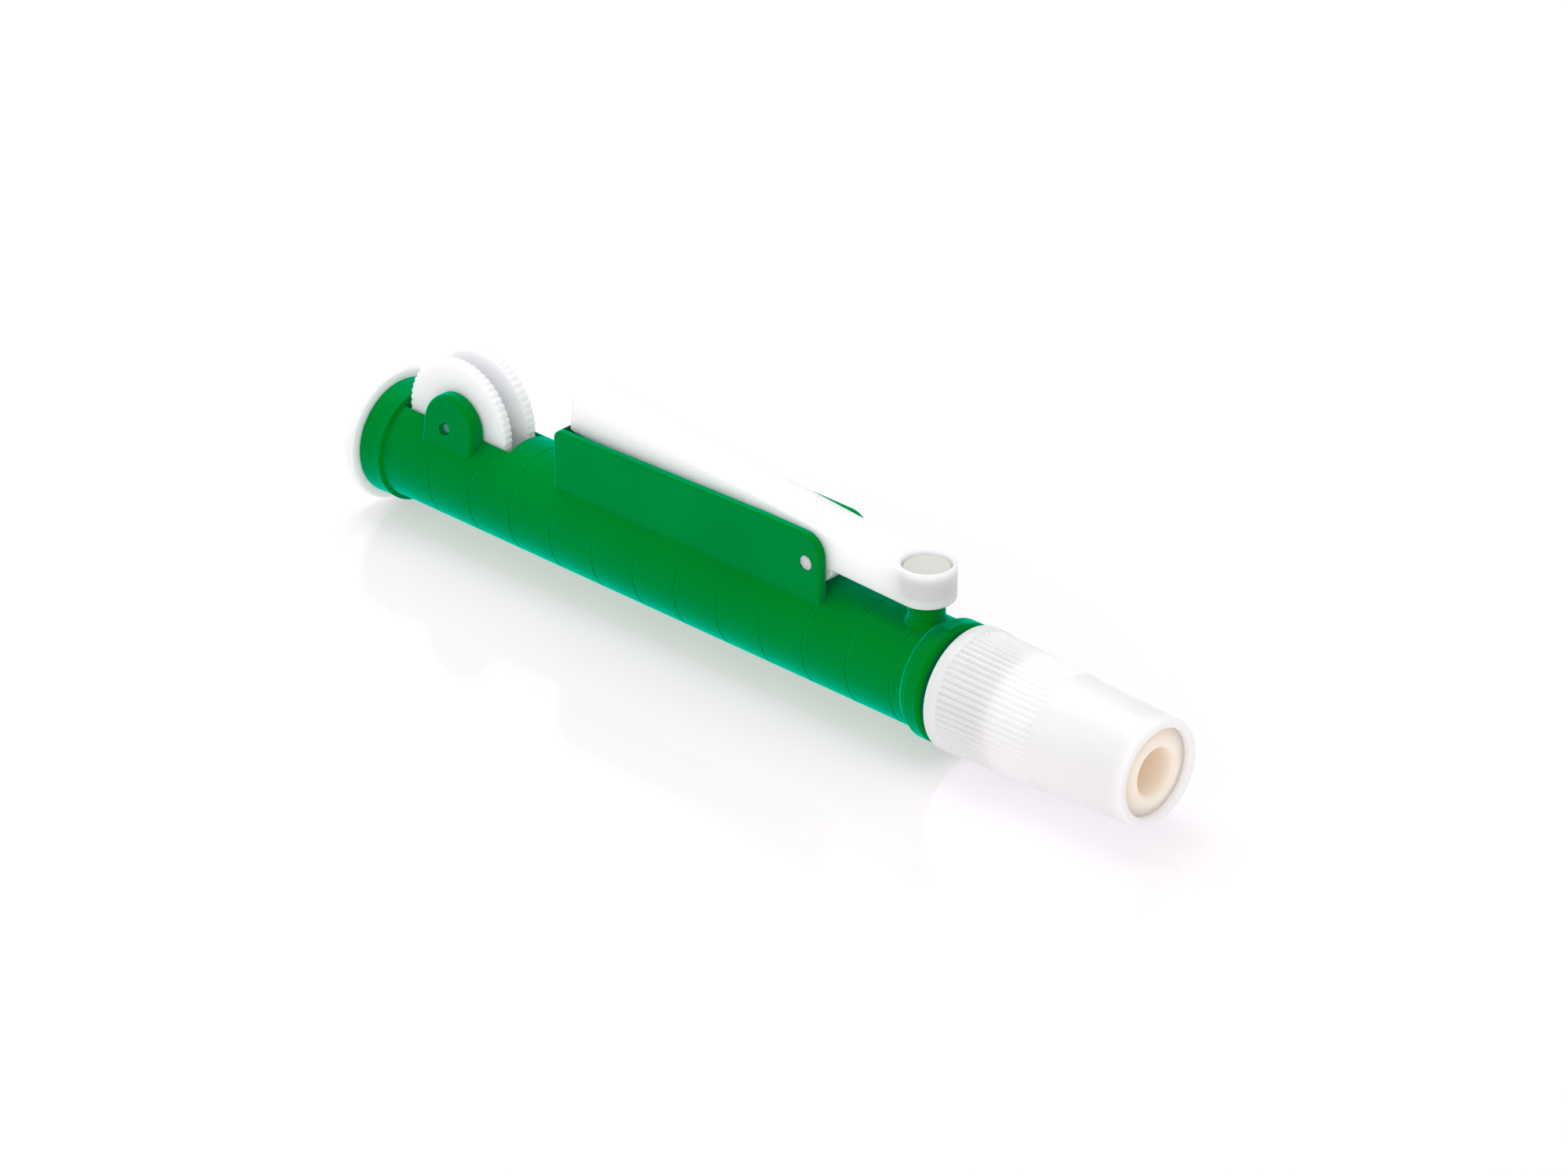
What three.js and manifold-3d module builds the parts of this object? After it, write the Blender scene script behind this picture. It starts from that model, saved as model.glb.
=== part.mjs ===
// A thumbwheel pipette pump with a fast-release lever, lying down with its wheel and lever on top.
// Millimetres. Inside the assembly group X runs along the barrel from its rear face to the nose,
// Y runs along the wheel's axle, Z points up to the wheel and the lever, and the bore's axis is at
// y = z = 0. The outer group stands the pump on the ground plane, over the origin.
import * as THREE from "three";
import { mergeVertices } from "three/addons/utils/BufferGeometryUtils.js";
import Module from "manifold-3d";

const wasm = await Module();
wasm.setup();

// Barrel, along X.
const TUBE_R = 12;
const BORE_R = 10;
const FLANGE_R = 13.1;
const FLANGE_END = 6.2;
const TUBE_END = 157.8;
const COLLAR_R = 13.15;
const COLLAR_START = 159.4;
const COLLAR_END = 163.4;
const SPIGOT_R = 10;
const SPIGOT_END = 177.6;
const CHAMBER_END = 156.5;
const NOSE_BORE_R = 7.5;

// Thumbwheel, ears and rack drive.
const AXLE_X = 22.1;
const AXLE_Z = 11.9;
const AXLE_R = 1.2;
const RUNNING_GAP = 0.08;
const WHEEL_R = 14.5;
const WHEEL_NOTCHES = 56;
const NOTCH_DEPTH = 0.45;
const DISC_INSIDE = 2.2;
const DISC_OUTSIDE = 4.75;
const HUB_R = 3.2;
const OPENING_HALF_WIDTH = 5.2;
const OPENING_START = 6.3;
const OPENING_END = 38.3;
const EAR_X = 23;
const EAR_Z = 12.3;
const EAR_R = 7.4;
const EAR_FOOT_Z = 6.5;
const EAR_FOOT_OUTSIDE = 9.4;
const EAR_TOP_OUTSIDE = 7.7;
const AXLE_END = 8.1;
const TOOTH_MODULE = 1;
const PINION_TEETH = 12;
const PITCH_R = (TOOTH_MODULE * PINION_TEETH) / 2;
const TOOTH_ADDENDUM = 0.9;
const TOOTH_DEDENDUM = 1.2;
const TOOTH_SLOPE = Math.tan(THREE.MathUtils.degToRad(20));
const TOOTH_PLAY = 0.12;
const TOOTH_PITCH = Math.PI * TOOTH_MODULE;
const RACK_Z = AXLE_Z - PITCH_R;
const RACK_FIRST_TOOTH = -3;
const RACK_LAST_TOOTH = 33;

// Plunger.
const CAP_R = 14.9;
const CAP_REAR = -3.3;
const CAP_FRONT = -0.3;
const BLADE_HALF_WIDTH = 1.8;
const FOOT_HALF_WIDTH = 3.5;
const FOOT_Z = -9;
const RIB_HALF_WIDTH = 4.2;
const RIB_Z = -4.8;
const ROD_DISC_R = 9.4;
const ROD_END = 137.2;
const PISTON_R = 9.6;
const PISTON_REAR = 137.5;
const PISTON_FRONT = 146.5;
const SEAL_R = 9.9;
const SEAL_SEAT_R = 6.5;
const STEM_R = 2.5;
const STEM_END = 141;

// Lever, its bracket and its valve.
const PIN_X = 127;
const PIN_Z = 17.7;
const PIN_R = 1.65;
const PLATE_INSIDE = 5.95;
const PLATE_OUTSIDE = 7.65;
const PLATE_START = 54;
const PLATE_WALL = 1;
const PLATE_END = 131.2;
const PLATE_FOOT_Z = 8.8;
const PLATE_TOP_REAR = 22.8;
const PLATE_TOP_FRONT = 24.5;
const PLATE_LEVEL_LENGTH = 16;
const LEVER_BEND_X = 131.5;
const LEVER_TOP = 24.9;
const LEVER_BOTTOM = 16.8;
const LEVER_REAR_X = 55.45;
const LEVER_REAR_TOP = 31.4;
const LEVER_REAR_BOTTOM = 22.25;
const LEVER_REAR_LEAN = 1.3;
const LEVER_REAR_HALF_WIDTH = 4.8;
const LEVER_PIVOT_HALF_WIDTH = 5.4;
const KNUCKLE_R = 5.2;
const KNUCKLE_HALF_LENGTH = 4.9;
const BOSS_X = 153.8;
const BOSS_R = 6.25;
const BOSS_BORE_R = 5.3;
const BOSS_FLOOR_Z = 18.7;
const BOSS_LIP_R = 4.15;
const PLUG_R = 3.9;
const STUB_R = 3.9;
const STUB_TOP = 16.95;
const STUB_FOOT_R = 4.5;
const VENT_R = 1.2;
const SPRING_X = 104;
const SPRING_R = 2.6;
const SPRING_WIRE_R = 0.35;
const SPRING_SEAT_Z = 12.6;
const SPRING_TURNS = 4.5;
const SPRING_SEAT_R = 4;
const SPRING_PEG_R = 1.7;
const SPRING_PEG_LENGTH = 1.6;

// Chuck.
const CHUCK_BASE = 165.3;
const CHUCK_RIM_R = 13.7;
const CHUCK_RIM_END = 168.2;
const RIB_END = 192.9;
const RIB_COUNT = 58;
const RIB_DEPTH = 0.35;
const CHUCK_TIP = 216.8;
const CHUCK_TIP_R = 11.65;
const MOUTH_R = 9.7;
const POCKET_R = 11.65;
const POCKET_END = 180.2;
const THREAD_PITCH = 4;
const THREAD_TURNS = 2;
const THREAD_CREST_R = 11.1;
const THREAD_START = 166;
const INSERT_FLANGE_R = 11.3;
const INSERT_EDGE = CHUCK_TIP - 1.5;
const INSERT_FACE = CHUCK_TIP - 0.4;
const SOCKET_R = 5.5;
const SOCKET_THROAT_R = 3;
const SOCKET_HOLE_R = 2.6;

// Where a piece that grows out of the tube's wall starts: inside the bore, which is cut afterwards.
const INSIDE_BORE = 9;

const SIDES = 40;
const SMALL_SIDES = 20;
// The pump lies on flats of its plunger cap and of its chuck's rim, so both have fewer sides.
const RESTING_SIDES = 24;

// Solids.

function solid(geometry) {
  const bare = geometry.clone();
  bare.deleteAttribute("normal");
  bare.deleteAttribute("uv");
  const merged = mergeVertices(bare, 1e-4);
  const corners = merged.index.array;
  const faces = [];
  for (let i = 0; i < corners.length; i += 3) {
    const [a, b, c] = corners.slice(i, i + 3);
    if (a !== b && b !== c && c !== a) faces.push(a, b, c);
  }
  return new wasm.Manifold(
    new wasm.Mesh({
      numProp: 3,
      vertProperties: new Float32Array(merged.attributes.position.array),
      triVerts: new Uint32Array(faces),
    }),
  );
}

function toGeometry(made) {
  const { vertProperties, triVerts } = made.getMesh();
  const geometry = new THREE.BufferGeometry();
  geometry.setAttribute("position", new THREE.BufferAttribute(vertProperties, 3));
  geometry.setIndex(new THREE.BufferAttribute(triVerts, 1));
  geometry.computeVertexNormals();
  return geometry;
}

// A turned body about the X axis, with a flat facing down. Its outline holds [x, radius] points,
// forwards along the outside.
function turned(outline, sides = SIDES) {
  const points = outline.map(([x, r]) => new THREE.Vector2(r, x));
  return new THREE.LatheGeometry(points, sides, Math.PI / sides).rotateZ(-Math.PI / 2);
}

// The radius at the corners of a resting polygon that is 2r across its flats.
function cornerRadius(r) {
  return r / Math.cos(Math.PI / RESTING_SIDES);
}

// A turned body about a vertical axis. Its outline holds [z, radius] points, upwards along the outside.
function turnedUpright(outline, x, sides = SMALL_SIDES) {
  const points = outline.map(([z, r]) => new THREE.Vector2(r, z));
  return new THREE.LatheGeometry(points, sides).rotateX(Math.PI / 2).translate(x, 0, 0);
}

function crossBar(radius, halfLength, x, z, sides = SMALL_SIDES) {
  return new THREE.CylinderGeometry(radius, radius, 2 * halfLength, sides).translate(x, 0, z);
}

function block(x0, x1, y0, y1, z0, z1) {
  const box = new THREE.BoxGeometry(x1 - x0, y1 - y0, z1 - z0);
  return box.translate((x0 + x1) / 2, (y0 + y1) / 2, (z0 + z1) / 2);
}

// An outline in X and Z, extruded along Y from y0 to y1.
function sidePlate(shape, y0, y1, curveSegments = 10) {
  const plate = new THREE.ExtrudeGeometry(shape, {
    depth: y1 - y0,
    bevelEnabled: false,
    curveSegments,
  });
  return plate.rotateX(Math.PI / 2).translate(0, y1, 0);
}

// An outline in Y and Z, extruded along X from x0 to x1.
function crossPlate(points, x0, x1) {
  const shape = new THREE.Shape(points.map(([y, z]) => new THREE.Vector2(y, z)));
  const plate = new THREE.ExtrudeGeometry(shape, { depth: x1 - x0, bevelEnabled: false });
  const turn = new THREE.Matrix4().makeBasis(
    new THREE.Vector3(0, 1, 0),
    new THREE.Vector3(0, 0, 1),
    new THREE.Vector3(1, 0, 0),
  );
  return plate.applyMatrix4(turn).translate(x0, 0, 0);
}

// A helical ridge about the X axis, sunk a little into the wall that carries it, thin at both ends.
function threadRidge(wallR, crestR, start, turns) {
  const outwards = Math.sign(crestR - wallR);
  const sunkR = wallR - 0.25 * outwards;
  const steps = Math.round(turns * 32);
  const positions = [];
  const faces = [];
  for (let i = 0; i <= steps; i++) {
    const angle = (2 * Math.PI * turns * i) / steps;
    const x = start + (THREAD_PITCH * angle) / (2 * Math.PI);
    const height = Math.min(1, (i + 0.4) / 5, (steps - i + 0.4) / 5);
    const topR = wallR + (crestR - wallR) * height;
    for (const [dx, r] of [[-0.8, sunkR], [-0.4, topR], [0.4, topR], [0.8, sunkR]])
      positions.push(x + dx, r * Math.cos(angle), r * Math.sin(angle));
  }
  const quad = (a, b, c, d) => {
    if (outwards < 0) faces.push(a, b, c, a, c, d);
    else faces.push(a, c, b, a, d, c);
  };
  for (let i = 0; i < steps; i++)
    for (let k = 0; k < 4; k++) {
      const next = (k + 1) % 4;
      quad(4 * i + k, 4 * i + next, 4 * i + 4 + next, 4 * i + 4 + k);
    }
  quad(3, 2, 1, 0);
  quad(4 * steps, 4 * steps + 1, 4 * steps + 2, 4 * steps + 3);
  const geometry = new THREE.BufferGeometry();
  geometry.setAttribute("position", new THREE.Float32BufferAttribute(positions, 3));
  geometry.setIndex(faces);
  return geometry;
}

// Barrel: one moulding with its flange, ears, lever bracket, valve stub, collar and threaded spigot.

function barrelTube() {
  return turned([
    [0, 0],
    [0, FLANGE_R - 0.4],
    [0.4, FLANGE_R],
    [FLANGE_END - 0.2, FLANGE_R],
    [FLANGE_END, FLANGE_R - 0.2],
    [FLANGE_END + 0.1, TUBE_R + 0.2],
    [FLANGE_END + 0.4, TUBE_R],
    [TUBE_END, TUBE_R],
    [COLLAR_START, COLLAR_R],
    [COLLAR_END - 0.6, COLLAR_R],
    [COLLAR_END, COLLAR_R - 0.6],
    [COLLAR_END, SPIGOT_R],
    [SPIGOT_END - 0.6, SPIGOT_R],
    [SPIGOT_END, SPIGOT_R - 0.6],
    [SPIGOT_END, 0],
  ]);
}

function barrelBore() {
  return turned([
    [-1, 0],
    [-1, BORE_R + 0.6],
    [0, BORE_R + 0.6],
    [0.8, BORE_R],
    [CHAMBER_END, BORE_R],
    [CHAMBER_END + 2, NOSE_BORE_R],
    [SPIGOT_END + 1, NOSE_BORE_R],
    [SPIGOT_END + 1, 0],
  ]);
}

function earShape() {
  const shape = new THREE.Shape();
  shape.moveTo(EAR_X - EAR_R, EAR_FOOT_Z);
  shape.lineTo(EAR_X + EAR_R, EAR_FOOT_Z);
  shape.lineTo(EAR_X + EAR_R, EAR_Z);
  shape.absarc(EAR_X, EAR_Z, EAR_R, 0, Math.PI, false);
  shape.closePath();
  return shape;
}

// Both ears as one block, which the opening parts. Their outer faces lean in towards the top.
function ears() {
  const top = EAR_Z + EAR_R;
  const section = [
    [-EAR_FOOT_OUTSIDE, EAR_FOOT_Z],
    [EAR_FOOT_OUTSIDE, EAR_FOOT_Z],
    [EAR_TOP_OUTSIDE, top],
    [-EAR_TOP_OUTSIDE, top],
  ];
  const block = solid(sidePlate(earShape(), -EAR_FOOT_OUTSIDE, EAR_FOOT_OUTSIDE));
  return block.intersect(solid(crossPlate(section, EAR_X - EAR_R, EAR_X + EAR_R)));
}

function bracketShape() {
  const rearRound = 2;
  const frontRound = 5;
  const shape = new THREE.Shape();
  shape.moveTo(PLATE_START, PLATE_FOOT_Z);
  shape.lineTo(PLATE_END, PLATE_FOOT_Z);
  shape.lineTo(PLATE_END, PLATE_TOP_FRONT - frontRound);
  shape.absarc(PLATE_END - frontRound, PLATE_TOP_FRONT - frontRound, frontRound, 0, Math.PI / 2, false);
  shape.lineTo(PLATE_END - PLATE_LEVEL_LENGTH, PLATE_TOP_FRONT);
  shape.absarc(PLATE_START + rearRound, PLATE_TOP_REAR - rearRound, rearRound, Math.PI / 2, Math.PI, false);
  shape.closePath();
  return shape;
}

function barrel() {
  const stubOutside = [
    [INSIDE_BORE, 0],
    [INSIDE_BORE, STUB_FOOT_R],
    [TUBE_R - 0.4, STUB_FOOT_R],
    [TUBE_R + 1.4, STUB_R],
    [STUB_TOP, STUB_R],
    [STUB_TOP, 0],
  ];
  const seatOutside = [
    [INSIDE_BORE, 0],
    [INSIDE_BORE, SPRING_SEAT_R],
    [SPRING_SEAT_Z, SPRING_SEAT_R],
    [SPRING_SEAT_Z, SPRING_PEG_R],
    [SPRING_SEAT_Z + SPRING_PEG_LENGTH, SPRING_PEG_R],
    [SPRING_SEAT_Z + SPRING_PEG_LENGTH, 0],
  ];
  const bracket = solid(sidePlate(bracketShape(), -PLATE_OUTSIDE, PLATE_OUTSIDE));
  const leverSpace = block(PLATE_START + PLATE_WALL, PLATE_END + 9, -PLATE_INSIDE, PLATE_INSIDE, 0, 40);
  let body = solid(barrelTube()).add(bracket.subtract(solid(leverSpace)));
  body = body.add(ears());
  body = body.add(solid(turnedUpright(stubOutside, BOSS_X)));
  body = body.add(solid(turnedUpright(seatOutside, SPRING_X)));
  body = body.add(solid(threadRidge(SPIGOT_R, THREAD_CREST_R, THREAD_START, THREAD_TURNS)));
  body = body.subtract(solid(barrelBore()));
  const opening = block(OPENING_START, OPENING_END, -OPENING_HALF_WIDTH, OPENING_HALF_WIDTH, 5, 20);
  body = body.subtract(solid(opening));
  body = body.subtract(solid(crossBar(AXLE_R + RUNNING_GAP, 10, AXLE_X, AXLE_Z)));
  body = body.subtract(solid(crossBar(PIN_R + RUNNING_GAP, 10, PIN_X, PIN_Z)));
  const vent = [[0, 0], [0, VENT_R], [STUB_TOP + 1, VENT_R], [STUB_TOP + 1, 0]];
  body = body.subtract(solid(turnedUpright(vent, BOSS_X)));
  return toGeometry(body);
}

// Thumbwheel: two notched discs on the hexagonal hub of the pinion that drives the rack.

function wheelDisc(y0, y1) {
  const shape = new THREE.Shape();
  for (let i = 0; i < 2 * WHEEL_NOTCHES; i++) {
    const angle = (Math.PI * i) / WHEEL_NOTCHES;
    const r = WHEEL_R - (i % 2) * NOTCH_DEPTH;
    const point = [AXLE_X + r * Math.cos(angle), AXLE_Z + r * Math.sin(angle)];
    if (i === 0) shape.moveTo(...point);
    else shape.lineTo(...point);
  }
  shape.closePath();
  shape.holes.push(new THREE.Path(hexagon(HUB_R + 0.15)));
  return sidePlate(shape, y0, y1);
}

function hexagon(radius) {
  const corners = [];
  for (let i = 0; i < 6; i++) {
    const angle = (Math.PI * i) / 3;
    corners.push(new THREE.Vector2(AXLE_X + radius * Math.cos(angle), AXLE_Z + radius * Math.sin(angle)));
  }
  return corners;
}

// Half the rack tooth's thickness at a depth below the axle.
function rackHalfThickness(depth) {
  return TOOTH_PITCH / 4 + (depth - PITCH_R) * TOOTH_SLOPE;
}

// Half the angle that a rack tooth, with its play, clears from the pinion at a radius as the two roll.
function gapHalfAngle(radius) {
  let half = 0;
  for (let turn = -1; turn <= 1; turn += 0.01)
    for (let angle = 0; angle < Math.PI / PINION_TEETH; angle += 0.002) {
      const depth = radius * Math.cos(angle + turn);
      const along = radius * Math.sin(angle + turn) - PITCH_R * turn;
      const reached = depth >= PITCH_R - TOOTH_ADDENDUM - TOOTH_PLAY;
      if (reached && Math.abs(along) <= rackHalfThickness(depth) + TOOTH_PLAY) half = Math.max(half, angle);
    }
  return half;
}

function pinion() {
  const rootR = PITCH_R - TOOTH_DEDENDUM;
  const tipR = PITCH_R + TOOTH_ADDENDUM;
  const steps = 6;
  const flank = [];
  for (let i = 0; i <= steps; i++) {
    const radius = rootR + ((tipR - rootR) * i) / steps;
    flank.push([radius, gapHalfAngle(radius)]);
  }
  const shape = new THREE.Shape();
  for (let tooth = 0; tooth < PINION_TEETH; tooth++) {
    const gapCentre = -Math.PI / 2 + (2 * Math.PI * tooth) / PINION_TEETH;
    const side = (sign) => ([radius, half]) => [radius, gapCentre + sign * half];
    const around = [...flank.map(side(-1)).reverse(), ...flank.map(side(1))];
    around.forEach(([radius, angle], i) => {
      const point = [AXLE_X + radius * Math.cos(angle), AXLE_Z + radius * Math.sin(angle)];
      if (tooth === 0 && i === 0) shape.moveTo(...point);
      else shape.lineTo(...point);
    });
  }
  shape.closePath();
  const toothed = solid(sidePlate(shape, -BLADE_HALF_WIDTH, BLADE_HALF_WIDTH));
  const hub = solid(sidePlate(new THREE.Shape(hexagon(HUB_R)), 0.2 - DISC_OUTSIDE, DISC_OUTSIDE - 0.2));
  return toGeometry(toothed.add(hub).subtract(solid(crossBar(AXLE_R + 0.05, 10, AXLE_X, AXLE_Z))));
}

// Plunger: a ribbed rod with the rack on top, its thumb cap, and the piston with its double-lip seal.

function rackShape() {
  const rootZ = RACK_Z - TOOTH_DEDENDUM;
  const tipZ = RACK_Z + TOOTH_ADDENDUM;
  const rootHalf = rackHalfThickness(PITCH_R + TOOTH_DEDENDUM);
  const tipHalf = rackHalfThickness(PITCH_R - TOOTH_ADDENDUM);
  const shape = new THREE.Shape();
  shape.moveTo(CAP_FRONT + 0.3, FOOT_Z);
  shape.lineTo(ROD_END - 1, FOOT_Z);
  shape.lineTo(ROD_END - 1, rootZ);
  for (let tooth = RACK_LAST_TOOTH; tooth >= RACK_FIRST_TOOTH; tooth--) {
    const x = AXLE_X + tooth * TOOTH_PITCH;
    shape.lineTo(x + rootHalf, rootZ);
    shape.lineTo(x + tipHalf, tipZ);
    shape.lineTo(x - tipHalf, tipZ);
    shape.lineTo(x - rootHalf, rootZ);
  }
  shape.lineTo(CAP_FRONT + 0.3, rootZ);
  shape.closePath();
  return shape;
}

// The rod's tenon, or with some clearance the socket for it in the cap.
function tenon(clearance, front) {
  const halfWidth = 1.4 + clearance;
  return block(-2 - clearance, front, -halfWidth, halfWidth, -6 - clearance, 3 + clearance);
}

function plungerRod() {
  let rod = solid(sidePlate(rackShape(), -BLADE_HALF_WIDTH, BLADE_HALF_WIDTH));
  rod = rod.add(solid(block(0, ROD_END - 0.5, -FOOT_HALF_WIDTH, FOOT_HALF_WIDTH, FOOT_Z, FOOT_Z + 1.4)));
  rod = rod.add(solid(block(0, ROD_END - 0.5, -RIB_HALF_WIDTH, RIB_HALF_WIDTH, RIB_Z, RIB_Z + 1.4)));
  rod = rod.add(solid(tenon(0, 1)));
  const disc = [[ROD_END - 1.6, 0], [ROD_END - 1.6, ROD_DISC_R], [ROD_END, ROD_DISC_R], [ROD_END, 0]];
  rod = rod.add(solid(turned(disc)));
  const stem = [[ROD_END - 1, 0], [ROD_END - 1, STEM_R], [STEM_END, STEM_R], [STEM_END, 0]];
  rod = rod.add(solid(turned(stem, SMALL_SIDES)));
  return toGeometry(rod);
}

function plungerCap() {
  const cornerR = cornerRadius(CAP_R);
  const outline = [
    [CAP_REAR, 0],
    [CAP_REAR, cornerR - 1.5],
    [CAP_REAR + 0.45, cornerR - 0.45],
    [CAP_REAR + 1.5, cornerR],
    [CAP_FRONT - 0.5, cornerR],
    [CAP_FRONT, cornerR - 0.5],
    [CAP_FRONT, 0],
  ];
  const disc = turned(outline, RESTING_SIDES);
  return toGeometry(solid(disc).subtract(solid(tenon(0.2, 0))));
}

function pistonHead() {
  return turned([
    [PISTON_REAR, STEM_R + 0.15],
    [PISTON_REAR, PISTON_R],
    [PISTON_REAR + 1.5, PISTON_R],
    [PISTON_REAR + 1.5, SEAL_SEAT_R],
    [PISTON_FRONT - 2, SEAL_SEAT_R],
    [PISTON_FRONT - 2, SEAL_SEAT_R + 1.4],
    [PISTON_FRONT, SEAL_SEAT_R + 1.4],
    [PISTON_FRONT, 0],
    [STEM_END + 0.3, 0],
    [STEM_END + 0.3, STEM_R + 0.15],
    [PISTON_REAR, STEM_R + 0.15],
  ]);
}

function pistonSeal() {
  const rear = PISTON_REAR + 1.8;
  const front = PISTON_FRONT - 2.3;
  return turned([
    [rear, SEAL_SEAT_R + 0.2],
    [rear, SEAL_R - 0.3],
    [rear + 0.4, SEAL_R],
    [rear + 1.2, SEAL_R],
    [rear + 1.7, SEAL_R - 0.7],
    [front - 1.7, SEAL_R - 0.7],
    [front - 1.2, SEAL_R],
    [front - 0.4, SEAL_R],
    [front, SEAL_R - 0.3],
    [front, SEAL_SEAT_R + 0.2],
    [rear, SEAL_SEAT_R + 0.2],
  ]);
}

// Release lever, pinned in the bracket. Its boss holds the valve plug over the vent stub.

// The height of the rear arm's underside at x.
function leverUnderside(x) {
  const slope = (LEVER_REAR_BOTTOM - LEVER_BOTTOM) / (LEVER_BEND_X - LEVER_REAR_X);
  return LEVER_BOTTOM + slope * (LEVER_BEND_X - x);
}

function leverSide() {
  const rearRound = 1.2;
  const rearTopX = LEVER_REAR_X + LEVER_REAR_LEAN;
  const shape = new THREE.Shape();
  shape.moveTo(LEVER_REAR_X + rearRound, LEVER_REAR_BOTTOM);
  shape.lineTo(LEVER_BEND_X, LEVER_BOTTOM);
  shape.lineTo(BOSS_X, LEVER_BOTTOM);
  shape.lineTo(BOSS_X, LEVER_TOP);
  shape.lineTo(LEVER_BEND_X, LEVER_TOP);
  shape.lineTo(rearTopX + 1.6, LEVER_REAR_TOP);
  shape.quadraticCurveTo(rearTopX + 0.3, LEVER_REAR_TOP, rearTopX, LEVER_REAR_TOP - 1.3);
  shape.lineTo(LEVER_REAR_X, LEVER_REAR_BOTTOM + rearRound);
  shape.quadraticCurveTo(LEVER_REAR_X, LEVER_REAR_BOTTOM, LEVER_REAR_X + rearRound, LEVER_REAR_BOTTOM);
  return shape;
}

function leverPlan() {
  const round = 2;
  const half = LEVER_REAR_HALF_WIDTH;
  const shape = new THREE.Shape();
  shape.moveTo(LEVER_REAR_X - 0.1, -half + round);
  shape.quadraticCurveTo(LEVER_REAR_X, -half, LEVER_REAR_X + round, -half);
  shape.lineTo(LEVER_BEND_X, -LEVER_PIVOT_HALF_WIDTH);
  shape.lineTo(BOSS_X, -BOSS_R);
  shape.lineTo(BOSS_X, BOSS_R);
  shape.lineTo(LEVER_BEND_X, LEVER_PIVOT_HALF_WIDTH);
  shape.lineTo(LEVER_REAR_X + round, half);
  shape.quadraticCurveTo(LEVER_REAR_X, half, LEVER_REAR_X - 0.1, half - round);
  shape.closePath();
  return shape;
}

function lever() {
  const plan = new THREE.ExtrudeGeometry(leverPlan(), { depth: 30, bevelEnabled: false, curveSegments: 6 });
  let body = solid(sidePlate(leverSide(), -10, 10)).intersect(solid(plan.translate(0, 0, 5)));
  body = body.add(solid(crossBar(KNUCKLE_R, KNUCKLE_HALF_LENGTH, PIN_X, PIN_Z)));
  const bossOutside = [
    [LEVER_BOTTOM, 0],
    [LEVER_BOTTOM, BOSS_R - 1.2],
    [LEVER_BOTTOM + 1.2, BOSS_R],
    [LEVER_TOP - 0.4, BOSS_R],
    [LEVER_TOP, BOSS_R - 0.4],
    [LEVER_TOP, 0],
  ];
  body = body.add(solid(turnedUpright(bossOutside, BOSS_X, 40)));
  const pegFoot = leverUnderside(SPRING_X) - SPRING_PEG_LENGTH;
  const pegRoot = leverUnderside(SPRING_X) + 2;
  const peg = [[pegFoot, 0], [pegFoot, SPRING_PEG_R], [pegRoot, SPRING_PEG_R], [pegRoot, 0]];
  body = body.add(solid(turnedUpright(peg, SPRING_X)));
  const bossInside = [
    [LEVER_BOTTOM - 1, 0],
    [LEVER_BOTTOM - 1, BOSS_LIP_R],
    [BOSS_FLOOR_Z, BOSS_LIP_R],
    [BOSS_FLOOR_Z, BOSS_BORE_R],
    [LEVER_TOP + 1, BOSS_BORE_R],
    [LEVER_TOP + 1, 0],
  ];
  body = body.subtract(solid(turnedUpright(bossInside, BOSS_X, 40)));
  body = body.subtract(solid(crossBar(PIN_R + RUNNING_GAP, 10, PIN_X, PIN_Z)));
  return toGeometry(body);
}

function valvePlug() {
  return turnedUpright(
    [
      [STUB_TOP + 0.1, 0],
      [STUB_TOP + 0.1, PLUG_R],
      [BOSS_FLOOR_Z + 0.25, PLUG_R],
      [BOSS_FLOOR_Z + 0.25, BOSS_BORE_R - 0.2],
      [LEVER_TOP - 0.9, BOSS_BORE_R - 0.2],
      [LEVER_TOP - 0.9, 0],
    ],
    BOSS_X,
    40,
  );
}

class Helix extends THREE.Curve {
  getPoint(t, target = new THREE.Vector3()) {
    const angle = 2 * Math.PI * SPRING_TURNS * t;
    const clearOfSeat = SPRING_WIRE_R + 0.1;
    const bottom = SPRING_SEAT_Z + clearOfSeat;
    const top = leverUnderside(SPRING_X) - clearOfSeat - 0.2;
    const z = bottom + (top - bottom) * t;
    return target.set(SPRING_X + SPRING_R * Math.cos(angle), SPRING_R * Math.sin(angle), z);
  }
}

function returnSpring() {
  const wire = new THREE.Shape();
  wire.absarc(0, 0, SPRING_WIRE_R, 0, 2 * Math.PI, false);
  return new THREE.ExtrudeGeometry(wire, {
    steps: 54,
    curveSegments: 3,
    bevelEnabled: false,
    extrudePath: new Helix(),
  });
}

// Chuck: a ribbed nose that screws on to the spigot and clamps a soft tapered insert.

function chuckRim() {
  const cornerR = cornerRadius(CHUCK_RIM_R);
  const outline = [
    [CHUCK_BASE, 0],
    [CHUCK_BASE, cornerR],
    [CHUCK_RIM_END - 0.2, cornerR],
    [CHUCK_RIM_END, cornerR - 0.2],
    [CHUCK_RIM_END, 0],
  ];
  return turned(outline, RESTING_SIDES);
}

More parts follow.
